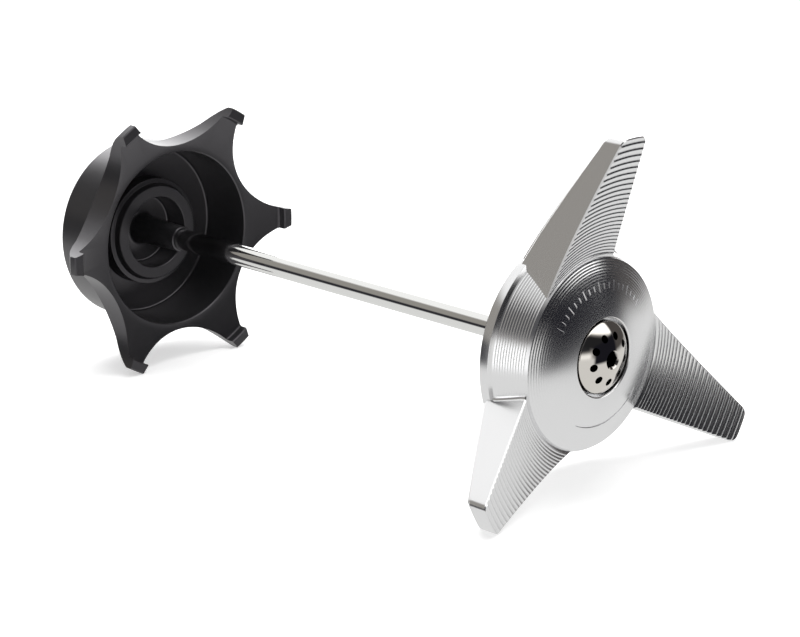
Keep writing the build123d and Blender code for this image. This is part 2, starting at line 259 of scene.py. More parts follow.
def mesh_object(name, points, faces):
    """A piece from points in millimetres, with its faces turned outwards."""
    mesh = bpy.data.meshes.new(name)
    mesh.from_pydata([tuple(MM * value for value in point) for point in points], [], faces)
    edit = bmesh.new()
    edit.from_mesh(mesh)
    bmesh.ops.recalc_face_normals(edit, faces=edit.faces)
    edit.to_mesh(mesh)
    edit.free()
    return link(name, mesh)


def revolved(name, profile, segments=SEGMENTS):
    """A solid from a closed outline of (radius, height) points."""
    points = []
    rows = []
    for radius, height in profile:
        start = len(points)
        if radius == 0:
            points.append((0, 0, height))
            rows.append([start] * segments)
            continue
        for n in range(segments):
            angle = 2 * math.pi * n / segments
            points.append((radius * math.cos(angle), radius * math.sin(angle), height))
        rows.append(list(range(start, start + segments)))
    faces = []
    for row, following in zip(rows, rows[1:] + rows[:1]):
        for n in range(segments):
            m = (n + 1) % segments
            corners = [row[n], row[m], following[m], following[n]]
            distinct = list(dict.fromkeys(corners))
            if len(distinct) > 2:
                faces.append(distinct)
    return mesh_object(name, points, faces)


def lofted(name, rings):
    """A solid through rings of equally many points, closed at both ends."""
    count = len(rings[0])
    points = [point for ring in rings for point in ring]
    faces = [list(range(count)), [len(points) - 1 - n for n in range(count)]]
    for level in range(len(rings) - 1):
        low = level * count
        high = low + count
        for n in range(count):
            m = (n + 1) % count
            faces.append([low + n, low + m, high + m, high + n])
    return mesh_object(name, points, faces)


def combine(target, tool, operation):
    """Cut, join or intersect two closed pieces; the tool is used up."""
    modifier = target.modifiers.new("combine", "BOOLEAN")
    modifier.operation = operation
    modifier.solver = "MANIFOLD"
    modifier.object = tool
    graph = bpy.context.evaluated_depsgraph_get()
    mesh = bpy.data.meshes.new_from_object(target.evaluated_get(graph))
    target.modifiers.clear()
    old = target.data
    target.data = mesh
    bpy.data.meshes.remove(old)
    bpy.data.objects.remove(tool)
    return target


def turned_copy(piece, degrees):
    copy = link(piece.name + "_copy", piece.data.copy())
    copy.data.transform(Matrix.Rotation(math.radians(degrees), 4, "Z"))
    return copy


def moved_out(piece, radius, degrees):
    """The piece moved from the axle line out to a radius, in the direction of an angle."""
    angle = math.radians(degrees)
    place = (MM * radius * math.cos(angle), MM * radius * math.sin(angle), 0)
    piece.data.transform(Matrix.Translation(place))
    return piece


def smooth(piece, degrees):
    """Smooth shading with edges sharper than an angle kept crisp."""
    piece.data.polygons.foreach_set("use_smooth", [True] * len(piece.data.polygons))
    piece.data.set_sharp_from_angle(angle=math.radians(degrees))


def arc_through(start, end, bulge, count):
    """Points on the arc between two points that stands off its chord by the bulge."""
    (x0, y0), (x1, y1) = start, end
    chord = math.hypot(x1 - x0, y1 - y0)
    radius = (chord**2 / 4 + bulge**2) / (2 * abs(bulge))
    side = math.copysign(1, bulge)
    nx = side * (y1 - y0) / chord
    ny = -side * (x1 - x0) / chord
    cx = (x0 + x1) / 2 - nx * (radius - abs(bulge))
    cy = (y0 + y1) / 2 - ny * (radius - abs(bulge))
    first = math.atan2(y0 - cy, x0 - cx)
    turn = math.atan2(y1 - cy, x1 - cx) - first
    turn = (turn + math.pi) % (2 * math.pi) - math.pi
    angles = [first + turn * n / count for n in range(count + 1)]
    return [(cx + radius * math.cos(angle), cy + radius * math.sin(angle)) for angle in angles]


def softened(corners):
    """A closed outline of (x, y) corners; a corner with a third number is rounded by it."""
    result = []
    for n, corner in enumerate(corners):
        if len(corner) == 2:
            result.append(corner)
            continue
        radius = corner[2]
        here = Vector(corner[:2])
        back = (Vector(corners[n - 1][:2]) - here).normalized()
        ahead = (Vector(corners[(n + 1) % len(corners)][:2]) - here).normalized()
        half = back.angle(ahead) / 2
        reach = radius / math.tan(half)
        centre = here + (back + ahead).normalized() * radius / math.sin(half)
        start = here + back * reach - centre
        end = here + ahead * reach - centre
        full = start.angle(end)
        steps = max(3, round(math.degrees(math.pi - 2 * half) / ROUNDING_STEP))
        spokes = [start]
        for k in range(1, steps):
            share = k / steps
            mixed = start * math.sin((1 - share) * full) + end * math.sin(share * full)
            spokes.append(mixed / math.sin(full))
        spokes.append(end)
        result += [tuple(centre + spoke) for spoke in spokes]
    return result


# Spinner

def grooves(radii, height_at, slope_at, divisions):
    """Concave rings between neighbouring radii; slope_at is how steep each is at its crests."""
    points = []
    for inner, outer in zip(radii, radii[1:]):
        depth = slope_at((inner + outer) / 2) * (outer - inner) / 4
        for n in range(divisions):
            share = n / divisions
            radius = inner + (outer - inner) * share
            points.append((radius, height_at(radius) - 4 * depth * share * (1 - share)))
    points.append((radii[-1], height_at(radii[-1])))
    return points


def crown_z(radius):
    """Height of the crown at a radius, without its turning grooves."""
    top = (RECESS_R + RECESS_EDGE, CROWN_TOP)
    radii, heights = zip(*arc_through(top, CROWN_EDGE, -CROWN_BULGE, CROWN_ARC_STEPS))
    return float(np.interp(radius, radii, heights))


def crown_steepness(radius):
    """Steepness of the turning grooves, which fade towards the middle."""
    return CROWN_STEEPNESS * max(0.0, min(1.0, (radius - CROWN_FADE_START) / CROWN_FADE_WIDTH))


def crown_profile():
    """Crown from its edge to the recess, with its turning grooves."""
    rings = np.linspace(RECESS_R + RECESS_EDGE, CROWN_EDGE[0], CROWN_RINGS)
    return grooves(list(rings), crown_z, crown_steepness, CROWN_DIVISIONS)[::-1]


def band_profile():
    """Side band with its fine concave rings."""
    (foot_r, foot_z), (top_r, top_z) = BAND_FOOT, BAND_TOP
    length = math.hypot(foot_r - top_r, top_z - foot_z)
    normal = ((top_z - foot_z) / length, (foot_r - top_r) / length)
    points = []
    pitch = length / BAND_STEPS
    for step in range(BAND_STEPS):
        for n in range(BAND_DIVISIONS):
            share = n / BAND_DIVISIONS
            along = (step + share) / BAND_STEPS
            depth = BAND_STEEPNESS * pitch * share * (1 - share)
            points.append((
                foot_r + (top_r - foot_r) * along - normal[0] * depth,
                foot_z + (top_z - foot_z) * along - normal[1] * depth,
            ))
    return points


def spinner_body():
    rear = softened([
        (ROD_BORE_R, REGISTER_FLOOR),
        (REGISTER_R, REGISTER_FLOOR, REGISTER_SOFT),
        (REGISTER_R, SPINNER_BACK, RIM_SOFT),
        (RIM_R - RIM_CHAMFER, SPINNER_BACK, RIM_SOFT),
        (RIM_R, SPINNER_BACK + RIM_CHAMFER, RIM_SOFT),
        (RIM_R, RIM_FRONT, RIM_FRONT_SOFT),
        BAND_FOOT,
    ])
    recess = [
        (RECESS_R + RECESS_EDGE_MIDDLE[0], CROWN_TOP - RECESS_EDGE_MIDDLE[1]),
        (RECESS_R, CROWN_TOP - RECESS_EDGE),
        (RECESS_R, RECESS_FLOOR),
        (ROD_BORE_R, RECESS_FLOOR),
    ]
    profile = rear[:-1] + band_profile() + [BAND_TOP] + crown_profile() + recess
    return revolved("spinner_dressed", profile)


def wing_front_z(radius):
    return WING_FRONT_START + WING_FRONT_SLOPE * (radius - BAND_TOP[0])


def wing_rear_z(radius):
    return WING_REAR_START + WING_REAR_SLOPE * (max(radius, RIM_R) - RIM_R)


def wing_flat_v(u):
    """Where the flat side of a wing runs; u is along the wing's middle and v across it."""
    return WING_FLAT_FOOT[1] + WING_FLAT_SLOPE * (u - WING_FLAT_FOOT[0])


def wing_slant_v(u):
    """Where the slanted side of a wing runs."""
    (foot_u, foot_v), (tip_u, tip_v) = WING_SLANT_FOOT, WING_SLANT_TIP
    return foot_v + (tip_v - foot_v) * (u - foot_u) / (tip_u - foot_u)


def on_tip_circle(side_v):
    """Where a side of a wing meets the circle of the tips."""
    u = WING_TIP_R
    for _ in range(PLAN_TIP_ROUNDS):
        u = math.sqrt(WING_TIP_R**2 - side_v(u) ** 2)
    return (u, side_v(u))


def wing_disc():
    """Disc between the cones of the wings, with concave rings cut into its front."""
    ratio = (WING_TIP_R / TERRACE_FIRST_R) ** (1 / TERRACE_COUNT)
    radii = [CROWN_EDGE[0]] + [TERRACE_FIRST_R * ratio**n for n in range(TERRACE_COUNT + 2)]
    outer = radii[-1]
    profile = [
        (DISC_INNER_R, wing_front_z(DISC_INNER_R)),
        *grooves(radii, wing_front_z, lambda radius: TERRACE_STEEPNESS, TERRACE_DIVISIONS),
        (outer, wing_rear_z(outer)),
        (RIM_R, wing_rear_z(RIM_R)),
        (BAND_TOP[0], wing_rear_z(RIM_R)),
        (BAND_TOP[0], DISC_BACK),
        (DISC_INNER_R, DISC_BACK),
    ]
    return revolved("wing_disc", profile)


def plan_corner(before, corner, after):
    """Rounded corner of a wing's plan, in evenly spaced points."""
    rounded = softened([before, (*corner, WING_CORNER_R), after])[1:-1]
    steps = np.linspace(0, len(rounded) - 1, PLAN_CORNER_POINTS)
    index = np.arange(len(rounded))
    us = np.interp(steps, index, [point[0] for point in rounded])
    vs = np.interp(steps, index, [point[1] for point in rounded])
    return list(zip(us, vs))


def wing_plan():
    """Plan of a wing outside its root blend, from the root of the flat side round the tip."""
    flat_corner = on_tip_circle(wing_flat_v)
    slant_corner = on_tip_circle(wing_slant_v)
    tip_u, tip_v = PLAN_TIP_AIM
    flat_end = flat_corner[0] - PLAN_FLAT_GAP
    flat = [(u, wing_flat_v(u)) for u in np.linspace(PLAN_FLAT_START, flat_end, PLAN_FLAT_POINTS)]
    first = plan_corner(flat[-1], flat_corner, (tip_u, -tip_v))
    last = plan_corner((tip_u, tip_v), slant_corner, (PLAN_SLANT_AIM, wing_slant_v(PLAN_SLANT_AIM)))
    start = math.atan2(first[-1][1], first[-1][0])
    end = math.atan2(last[0][1], last[0][0])
    tip = [
        (WING_TIP_R * math.cos(angle), WING_TIP_R * math.sin(angle))
        for angle in np.linspace(start, end, PLAN_TIP_POINTS)[1:-1]
    ]
    slant_end = last[-1][0] - PLAN_SLANT_GAP
    slant = [(u, wing_slant_v(u)) for u in np.linspace(slant_end, PLAN_INNER, PLAN_SLANT_POINTS)]
    return flat + first + tip + last + slant


def band_r(height):
    share = (height - BAND_FOOT[1]) / (BAND_TOP[1] - BAND_FOOT[1])
    return BAND_FOOT[0] + (BAND_TOP[0] - BAND_FOOT[0]) * share


def root_blend(height):
    """Hollow corner between the flat side and the band at a height, from the band outwards."""
    lean = math.atan(WING_FLAT_SLOPE)
    along = Vector((math.cos(lean), math.sin(lean)))
    out = Vector((math.sin(lean), -math.cos(lean)))
    start = Vector(WING_FLAT_FOOT) + out * WING_ROOT_FILLET
    reach = band_r(min(max(height, BAND_FOOT[1]), BAND_TOP[1])) + WING_ROOT_FILLET
    half = start.dot(along)
    centre = start + along * (math.sqrt(half**2 - start.length_squared + reach**2) - half)
    to_band = math.atan2(-centre.y, -centre.x)
    angles = np.linspace(to_band - BLEND_LEAD_RADIANS, math.pi / 2 + lean, BLEND_POINTS)
    return [
        (centre.x + WING_ROOT_FILLET * math.cos(a), centre.y + WING_ROOT_FILLET * math.sin(a))
        for a in angles
    ]


def inset(plan, distance):
    """The plan drawn in by a distance along its own normals."""
    array = np.array(plan)
    ahead = np.roll(array, -1, axis=0) - array
    back = array - np.roll(array, 1, axis=0)
    ahead /= np.linalg.norm(ahead, axis=1)[:, None]
    back /= np.linalg.norm(back, axis=1)[:, None]
    tangent = ahead + back
    tangent[0] = ahead[0]
    tangent[-1] = back[-1]
    tangent /= np.linalg.norm(tangent, axis=1)[:, None]
    normal = np.stack([-tangent[:, 1], tangent[:, 0]], axis=1)
    return array + distance * normal


def blade_z(kind, value, rear, front):
    """Height of a level: behind the rear face, in front of the front face, or a share between."""
    if kind == "rear":
        return rear - value
    if kind == "front":
        return front + value
    low = rear + WING_REAR_CHAMFER
    high = front - WING_FRONT_CHAMFER
    return low + (high - low) * value


def blade_inset(kind, value):
    """How far a level is drawn in from the sides, for the chamfers at both faces."""
    if kind == "rear":
        return WING_REAR_CHAMFER + min(value, BLADE_LIP)
    if kind == "front":
        return WING_FRONT_CHAMFER + min(value, BLADE_LIP)
    return 0.0


def wing_blade():
    """Upright blade of a wing with its chamfers; it stands past the wing's front and rear face."""
    levels = [("rear", value) for value in (BLADE_PAST, BLADE_LIP, 0.0)]
    levels += [("side", share) for share in np.linspace(0, 1, BLADE_SIDE_LEVELS)]
    levels += [("front", value) for value in (0.0, BLADE_LIP, BLADE_PAST)]
    root_rear = wing_rear_z(RIM_R)
    root_front = wing_front_z(BAND_TOP[0] + WING_ROOT_FILLET)
    plan = wing_plan()
    rings = []
    for kind, value in levels:
        blend = root_blend(blade_z(kind, value, root_rear, root_front))
        outline = [(PLAN_INNER, blend[0][1] + PLAN_COVER), *blend, *plan]
        ring = []
        for (u, v), (inset_u, inset_v) in zip(outline, inset(outline, blade_inset(kind, value))):
            radius = math.hypot(u, v)
            height = blade_z(kind, value, wing_rear_z(radius), wing_front_z(radius))
            ring.append((inset_u, inset_v, height))
        rings.append(ring)
    return lofted("wing_blade", rings)


def mark(sections):
    """Cutter for an engraved mark on the crown, from pairs of an angle and half a breadth."""
    rings = []
    for angle, half in sections:
        turn = math.radians(angle)
        inner = MARK_R - half
        outer = MARK_R + half
        rings.append([
            (radius * math.cos(turn), radius * math.sin(turn), crown_z(radius) + lift)
            for radius, lift in (
                (inner, -MARK_DEPTH), (outer, -MARK_DEPTH), (outer, MARK_PROUD), (inner, MARK_PROUD),
            )
        ])
    return lofted("mark", rings)


def engraved_marks():
    """A turning arrow and a plain index scale, in the places of the product's words."""
    shaft = [(angle, ARROW_LINE / 2) for angle in np.linspace(ARROW_START, ARROW_NECK, ARROW_STEPS)]
    marks = mark(shaft + [(ARROW_BARBS, ARROW_WIDTH / 2), (ARROW_TIP, ARROW_POINT / 2)])
    half_angle = math.degrees(TICK_WIDTH / 2 / MARK_R)
    for number in range(-TICKS_EACH_WAY, TICKS_EACH_WAY + 1):
        angle = SCALE_MIDDLE + number * TICK_STEP
        half = TICK_SHORT / 2 if number % TICKS_PER_LONG else TICK_LONG / 2
        combine(marks, mark([(angle - half_angle, half), (angle + half_angle, half)]), "UNION")
    return marks


def build_spinner():
    blade = combine(wing_blade(), wing_disc(), "INTERSECT")
    body = combine(spinner_body(), engraved_marks(), "DIFFERENCE")
    for number in range(1, WING_COUNT):
        combine(body, turned_copy(blade, number * 360 / WING_COUNT), "UNION")
    combine(body, blade, "UNION")
    smooth(body, SPINNER_CREASE)
    return body


# Bolt

def dome_z(radius):
    """Height of the head's dome at a radius."""
    return HEAD_DOME_Z + math.sqrt(HEAD_DOME_R**2 - radius**2)


def head_dome():
    """Dome from its top to just before its edge."""
    half = math.asin(HEAD_R / HEAD_DOME_R)
    angles = [half * n / HEAD_DOME_STEPS for n in range(1, HEAD_DOME_STEPS)]
    return [(0.0, HEAD_TOP)] + [
        (HEAD_DOME_R * math.sin(angle), HEAD_DOME_Z + HEAD_DOME_R * math.cos(angle))
        for angle in angles
    ]


def head_hole():
    """Cutter for a blind hole with a cone at its end, still on the axle line."""
    surface = dome_z(HEAD_HOLE_CIRCLE_R)
    floor = surface - HEAD_HOLE_DEPTH
    profile = [
        (0.0, floor - HEAD_HOLE_CONE),
        (HEAD_HOLE_R, floor),
        (HEAD_HOLE_R, surface + HEAD_HOLE_PROUD),
        (0.0, surface + HEAD_HOLE_PROUD),
    ]
    return revolved("hole", profile, HOLE_SEGMENTS)


def hex_socket():
    """Cutter for the hex socket with a cone at its mouth."""
    corner = HEX_FLATS / math.sqrt(3)
    angles = [math.radians(60 * n + 30) for n in range(6)]
    socket = lofted("socket", [
        [(corner * math.cos(angle), corner * math.sin(angle), height) for angle in angles]
        for height in (HEAD_TOP - HEX_DEPTH, HEAD_TOP + HEX_PROUD)
    ])
    mouth_z = dome_z(HEX_MOUTH_R)
    profile = [
        (0.0, mouth_z - HEX_MOUTH_R),
        (HEX_MOUTH_R, mouth_z),
        (HEX_MOUTH_R, HEAD_TOP + HEX_PROUD),
        (0.0, HEAD_TOP + HEX_PROUD),
    ]
    return combine(socket, revolved("mouth", profile, SOCKET_SEGMENTS), "UNION")


def build_head():
    """Domed head with its ring of blind holes, its hex socket, collar and stud."""
    stud_end = ROD_END - STUD_LENGTH
    profile = softened([
        *head_dome(),
        (HEAD_R, HEAD_EDGE, HEAD_EDGE_SOFT),
        (HEAD_R, HEAD_SEAT, HEAD_SEAT_SOFT),
        (ROD_R, HEAD_SEAT),
        (ROD_R, ROD_END),
        (STUD_R, ROD_END),
        (STUD_R, stud_end + STUD_CHAMFER),
        (STUD_R - STUD_CHAMFER, stud_end),
        (0.0, stud_end),
    ])
    head = revolved("head_dressed", profile, HEAD_SEGMENTS)
    for n in range(HEAD_HOLES):
        turn = HEAD_HOLE_TURN + n * 360 / HEAD_HOLES
        combine(head, moved_out(head_hole(), HEAD_HOLE_CIRCLE_R, turn), "DIFFERENCE")
    combine(head, hex_socket(), "DIFFERENCE")
    smooth(head, CREASE)
    return head


def build_rod():
    """Rod with its shoulder and threaded end at the cup, and its hole for the head's stud."""
    hole_end = ROD_END - STUD_LENGTH - STUD_HOLE_RUNOUT
    profile = [
        (0.0, ROD_START),
        (THREAD_R - THREAD_CHAMFER, ROD_START),
        (THREAD_R, ROD_START + THREAD_CHAMFER),
        (THREAD_R, ROD_SHOULDER),
        (ROD_R - SHOULDER_BEVEL, ROD_SHOULDER),
        (ROD_R, ROD_SHOULDER + SHOULDER_BEVEL),
        (ROD_R, ROD_END),
        (STUD_R + STUD_CLEARANCE, ROD_END),
        (STUD_R + STUD_CLEARANCE, hole_end),
        (0.0, hole_end),
    ]
    rod = revolved("rod_dressed", profile, ROD_SEGMENTS)
    smooth(rod, CREASE)
    return rod


# Cup

def cup_outside():
    """Outline of the cup from its back over the lobes and their lip to the mouth."""
    return [
        (0.0, CUP_BACK_Z),
        (CUP_BACK_R, CUP_BACK_Z, CUP_BACK_SOFT),
        (CUP_OUTER_R, -LOBE_ROOT_DROP, LOBE_ROOT_SOFT),
        *arc_through(LOBE_REAR, (LOBE_TIP_R, LOBE_EDGE_Z), LOBE_REAR_BULGE, LOBE_REAR_STEPS),
        (LOBE_TIP_R, LIP_TOP - LIP_EDGE),
        (LOBE_TIP_R - LIP_EDGE, LIP_TOP),
        (LIP_INNER_R + LIP_EDGE, LIP_TOP),
        (LIP_INNER_R, LIP_TOP - LIP_EDGE),
        (LIP_INNER_R, LOBE_FACE_RISE, LIP_SOFT),
        (CUP_OUTER_R, 0.0),
        (CUP_MOUTH_R + CUP_MOUTH_CHAMFER, 0.0),
    ]


def cup_inside():
    """Outline of the cup from its mouth over the ledge, seat, well and post to its bore."""
    return [
        (CUP_MOUTH_R, -CUP_MOUTH_CHAMFER),
        (CUP_FLOOR_R, -CUP_DEPTH, CUP_FLOOR_SOFT),
        (LEDGE_R, -CUP_DEPTH, LEDGE_FOOT_SOFT),
        (LEDGE_R, -LEDGE_DROP, LEDGE_SOFT),
        (LEDGE_R - LEDGE_LAND, -LEDGE_DROP, LEDGE_SOFT),
        (SEAT_OUTER_R, -SEAT_DROP - SEAT_EDGE),
        (SEAT_OUTER_R - SEAT_EDGE, -SEAT_DROP),
        (SEAT_INNER_R + SEAT_EDGE, -SEAT_DROP),
        (SEAT_INNER_R, -SEAT_DROP - SEAT_EDGE),
        (WELL_FLOOR_R, -WELL_DEPTH, WELL_SOFT),
        (POST_FOOT_R, -WELL_DEPTH, POST_FOOT_SOFT),
        (POST_TOP_R, POST_PROUD - POST_CHAMFER),
        (POST_TOP_R - POST_CHAMFER, POST_PROUD),
        (POST_BORE_R, POST_PROUD),
        (POST_BORE_R, POST_BORE_END),
        (0.0, POST_BORE_END),
    ]


def scallop():
    """Round cutter for the hollow between two lobes, still on the axle line."""
    profile = [
        (0.0, SCALLOP_BACK),
        (SCALLOP_R, SCALLOP_BACK),
        (SCALLOP_R, SCALLOP_FRONT),
        (0.0, SCALLOP_FRONT),
    ]
    return revolved("scallop", profile, SCALLOP_SEGMENTS)


def build_cap():
    """Cup with its dished face, hooked lobes, ledge, seat, well and post."""
    cap = revolved("cap_dressed", softened(cup_outside() + cup_inside()))
    for n in range(LOBE_COUNT):
        combine(cap, moved_out(scallop(), SCALLOP_CENTRE_R, n * 360 / LOBE_COUNT), "DIFFERENCE")
    smooth(cap, CREASE)
    return cap


# Node helpers

class Tree:
    """Short way to add and wire the nodes of one material or world."""

    def __init__(self, owner):
        owner.use_nodes = True
        self.nodes = owner.node_tree.nodes
        self.links = owner.node_tree.links
        self.nodes.clear()

    def put(self, socket, value):
        if isinstance(value, bpy.types.NodeSocket):
            self.links.new(value, socket)
        elif isinstance(value, (tuple, list)) and len(value) == 3 and socket.type == "RGBA":
            socket.default_value = (*value, 1.0)
        else:
            socket.default_value = value

    def add(self, kind, inputs=(), **settings):
        node = self.nodes.new(kind)
        for key, value in settings.items():
            setattr(node, key, value)
        for key, value in dict(inputs).items():
            self.put(node.inputs[key], value)
        return node

    def maths(self, operation, first, second=0.0, third=0.0):
        node = self.add("ShaderNodeMath", {0: first, 1: second, 2: third}, operation=operation)
        return node.outputs[0]

    def vector(self, operation, first, second=(0, 0, 0)):
        node = self.add("ShaderNodeVectorMath", {0: first, 1: second}, operation=operation)
        return node.outputs["Value" if operation in ("LENGTH", "DOT_PRODUCT") else "Vector"]

    def ramp(self, value, low, high, start=0.0, end=1.0):
        """Smooth step from start to end as the value passes from low to high."""
        node = self.add(
            "ShaderNodeMapRange",
            {"Value": value, "From Min": low, "From Max": high, "To Min": start, "To Max": end},
            interpolation_type="SMOOTHSTEP",
        )
        return node.outputs["Result"]

    def mix(self, share, first, second):
        node = self.add("ShaderNodeMix", data_type="RGBA")
        self.put(node.inputs["Factor"], share)
        self.put(node.inputs[6], first)
        self.put(node.inputs[7], second)
        return node.outputs[2]

    def noise(self, place, scale, detail):
        node = self.add("ShaderNodeTexNoise", {"Vector": place, "Scale": scale, "Detail": detail})
        return node.outputs["Fac"]

    def uneven(self, place, scale, detail, least, spread):
        """A roughness that wanders a little over the surface."""
        return self.maths("MULTIPLY_ADD", self.noise(place, scale, detail), spread, least)

    def surface(self, shader):
        output = self.add("ShaderNodeOutputMaterial")
        self.links.new(shader.outputs[0], output.inputs["Surface"])


def empty_material(name):
    """A material without nodes, its tree, and the place on the object in metres."""
    material = bpy.data.materials.new(name)
    tree = Tree(material)
    return material, tree, tree.add("ShaderNodeTexCoord").outputs["Object"]


# Materials

# Painted shade in the head's holes and socket: where its colour is darker, below the surface of its
# dome, and how much
HOLE_SHADE_START = 0.1
HOLE_SHADE_FULL = 1.2
HOLE_SHADE_SHARE = 0.03


def machined_material():
    """Bright aluminium with fine lines: rings round the axle, and levels along it."""
    material, tree, place = empty_material("machined_aluminium")
    radius = tree.vector("LENGTH", tree.vector("MULTIPLY", place, (1, 1, 0)))
    height = tree.add("ShaderNodeSeparateXYZ", {0: place}).outputs["Z"]
    rings = tree.add("ShaderNodeCombineXYZ", {"X": radius, "Y": height}).outputs[0]
    levels = tree.vector("MULTIPLY", place, (0.02, 0.02, 1.0))
    turned = tree.noise(rings, scale=1700.0, detail=1.0)
    milled = tree.noise(levels, scale=1300.0, detail=1.0)
    lines = tree.maths("ADD", tree.maths("MULTIPLY", turned, 0.5), tree.maths("MULTIPLY", milled, 0.5))
    bump = tree.add("ShaderNodeBump", {"Height": lines, "Strength": 0.035, "Distance": 0.0002})
    tangent = tree.add(
        "ShaderNodeVectorTransform",
        {0: tree.vector("CROSS_PRODUCT", (0, 0, 1), place)},
        vector_type="VECTOR",
        convert_from="OBJECT",
        convert_to="WORLD",
    )
    tree.surface(tree.add("ShaderNodeBsdfPrincipled", {
        "Base Color": (0.84, 0.84, 0.85),
        "Metallic": 1.0,
        "Roughness": tree.uneven(place, scale=60.0, detail=3.0, least=0.19, spread=0.05),
        "Anisotropic": 0.7,
        "Anisotropic Rotation": 0.25,
        "Tangent": tangent.outputs[0],
        "Normal": bump.outputs[0],
    }))
    return material


def painted_hole_shade(tree, place, colour):
    """The colour with painted shade: dark under the surface of the head's dome, in its holes and
    socket.
    """
    reach = tree.vector("LENGTH", tree.vector("SUBTRACT", place, (0, 0, HEAD_DOME_Z * MM)))
    start = MM * (HEAD_DOME_R - HOLE_SHADE_START)
    dark = MM * (HEAD_DOME_R - HOLE_SHADE_FULL)
    inside = tree.ramp(reach, dark, start, 1.0, 0.0)
    return tree.mix(inside, colour, tuple(HOLE_SHADE_SHARE * value for value in colour))


def polished_material(name, colour, least, with_hole_shade=False):
    """Mirror polish with a least roughness, for the domed head with painted shade in its holes and
    socket, or a plain piece.
    """
    material, tree, place = empty_material(name)
    tree.surface(tree.add("ShaderNodeBsdfPrincipled", {
        "Base Color": painted_hole_shade(tree, place, colour) if with_hole_shade else colour,
        "Metallic": 1.0,
        "Roughness": tree.uneven(place, scale=400.0, detail=4.0, least=least, spread=0.03),
    }))
    return material


def anodised_material():
    material, tree, place = empty_material("black_anodised")
    grain = tree.noise(place, scale=9000.0, detail=2.0)
    bump = tree.add("ShaderNodeBump", {"Height": grain, "Strength": 0.05, "Distance": 0.0001})
    tree.surface(tree.add("ShaderNodeBsdfPrincipled", {
        "Base Color": (0.012, 0.012, 0.013),
        "Metallic": 0.0,
        "Roughness": tree.uneven(place, scale=90.0, detail=3.0, least=0.29, spread=0.06),
        "Specular IOR Level": 1.0,
        "Specular Tint": (1.0, 0.96, 1.03),
        "Normal": bump.outputs[0],
    }))
    return material


# Studio: what the metal mirrors, by compass direction in degrees from +X towards +Y

class Patch(NamedTuple):
    """A soft-edged field of one brightness; tilt is how much it climbs per degree round."""

    middle: float
    half: float
    side: float
    low: float
    high: float
    soft: float
    tilt: float
    colour: tuple


STUDIO_WALL = (0.36, 0.35, 0.34)
STUDIO_FLAT = (0.55, 0.55, 0.55)
ALL_ROUND = 181
STUDIO = {
    "ceiling": Patch(0, ALL_ROUND, 1, 56, 120, 8, 0, (0.55, 0.55, 0.55)),
    "bright_wall": Patch(140, 28, 6, -24, 60, 8, 0, (2.8, 2.8, 2.8)),
    "high_window": Patch(179, 60, 8, 38, 75, 5, 0, (1.08, 1.08, 1.07)),
    "back_dark": Patch(-170, 14, 4, -6, 34, 5, 0, (0.1, 0.1, 0.1)),
    "front_window": Patch(25, 36, 7, 26, 58, 4, -0.42, (1.7, 1.7, 1.68)),
    "left_dark": Patch(-62, 42, 8, 16, 50, 7, 0, (0.09, 0.09, 0.095)),
    "side_wall": Patch(-138, 22, 6, 2, 38, 6, 0, (0.33, 0.315, 0.29)),
    "left_low_dark": Patch(-24, 21, 5, 4, 22, 4, 0, (0.03, 0.03, 0.033)),
    "low_dark": Patch(15, 40, 10, 0, 27, 5, -0.42, (0.02, 0.02, 0.022)),
    "right_brown": Patch(76, 20, 3, -9, 46, 5, 0, (0.085, 0.078, 0.076)),
    "table": Patch(0, ALL_ROUND, 1, -120, -9, 4, 0, (0.82, 0.82, 0.81)),
    "left_glow": Patch(-86, 24, 7, -14, 11, 5, 0, (1.45, 1.45, 1.45)),
    "slit_glow": Patch(-16, 13, 5, -10, 0, 4, 0, (1.15, 1.15, 1.13)),
    "table_edge": Patch(-140, 22, 6, -13, 6, 4, 0, (0.03, 0.03, 0.035)),
    "black": Patch(31, 27, 4, -19, 13, 3, 0.08, (0.012, 0.012, 0.017)),
}


def studio_colour(tree, toward):
    """What a mirror sees in a direction: the wall, covered by each patch in turn."""
    split = tree.add("ShaderNodeSeparateXYZ", {0: toward})
    level = tree.maths("DEGREES", tree.maths("ARCSINE", split.outputs["Z"]))
    colour = STUDIO_WALL
    for patch in STUDIO.values():
        angle = math.radians(patch.middle)
        ahead = tree.vector("DOT_PRODUCT", toward, (math.cos(angle), math.sin(angle), 0))
        aside = tree.vector("DOT_PRODUCT", toward, (-math.sin(angle), math.cos(angle), 0))
        round_ = tree.maths("DEGREES", tree.maths("ARCTAN2", aside, ahead))
        away = tree.maths("ABSOLUTE", round_)
        across = tree.ramp(away, patch.half - patch.side, patch.half + patch.side, 1.0, 0.0)
        height = tree.maths("SUBTRACT", level, tree.maths("MULTIPLY", round_, patch.tilt))
        above = tree.ramp(height, patch.low - patch.soft, patch.low + patch.soft)
        below = tree.ramp(height, patch.high - patch.soft, patch.high + patch.soft, 1.0, 0.0)
        share = tree.maths("MULTIPLY", tree.maths("MULTIPLY", above, below), across)
        colour = tree.mix(share, colour, patch.colour)
    return colour


def studio_world():
    """White to the camera, plain grey as a light, and the studio as the metal's mirror image."""
    world = bpy.data.worlds.new("studio")
    bpy.context.scene.world = world
    tree = Tree(world)
    toward = tree.vector("NORMALIZE", tree.add("ShaderNodeTexCoord").outputs["Generated"])
    path = tree.add("ShaderNodeLightPath")
    colour = tree.mix(path.outputs["Is Diffuse Ray"], studio_colour(tree, toward), STUDIO_FLAT)
    colour = tree.mix(path.outputs["Is Camera Ray"], colour, (1.0, 1.0, 1.0))
    background = tree.add("ShaderNodeBackground", {"Color": colour, "Strength": 1.0})
    output = tree.add("ShaderNodeOutputWorld")
    tree.links.new(background.outputs[0], output.inputs["Surface"])


# Floor, lamp and camera, in metres

FLOOR_HALF = 3.0
FLOOR_GLOW = 0.4
SOFTBOX_SIZE = (1.2, 1.0)
SOFTBOX_POWER = 14.0
SOFTBOX_PLACE = (-0.25, 0.25, 1.1)


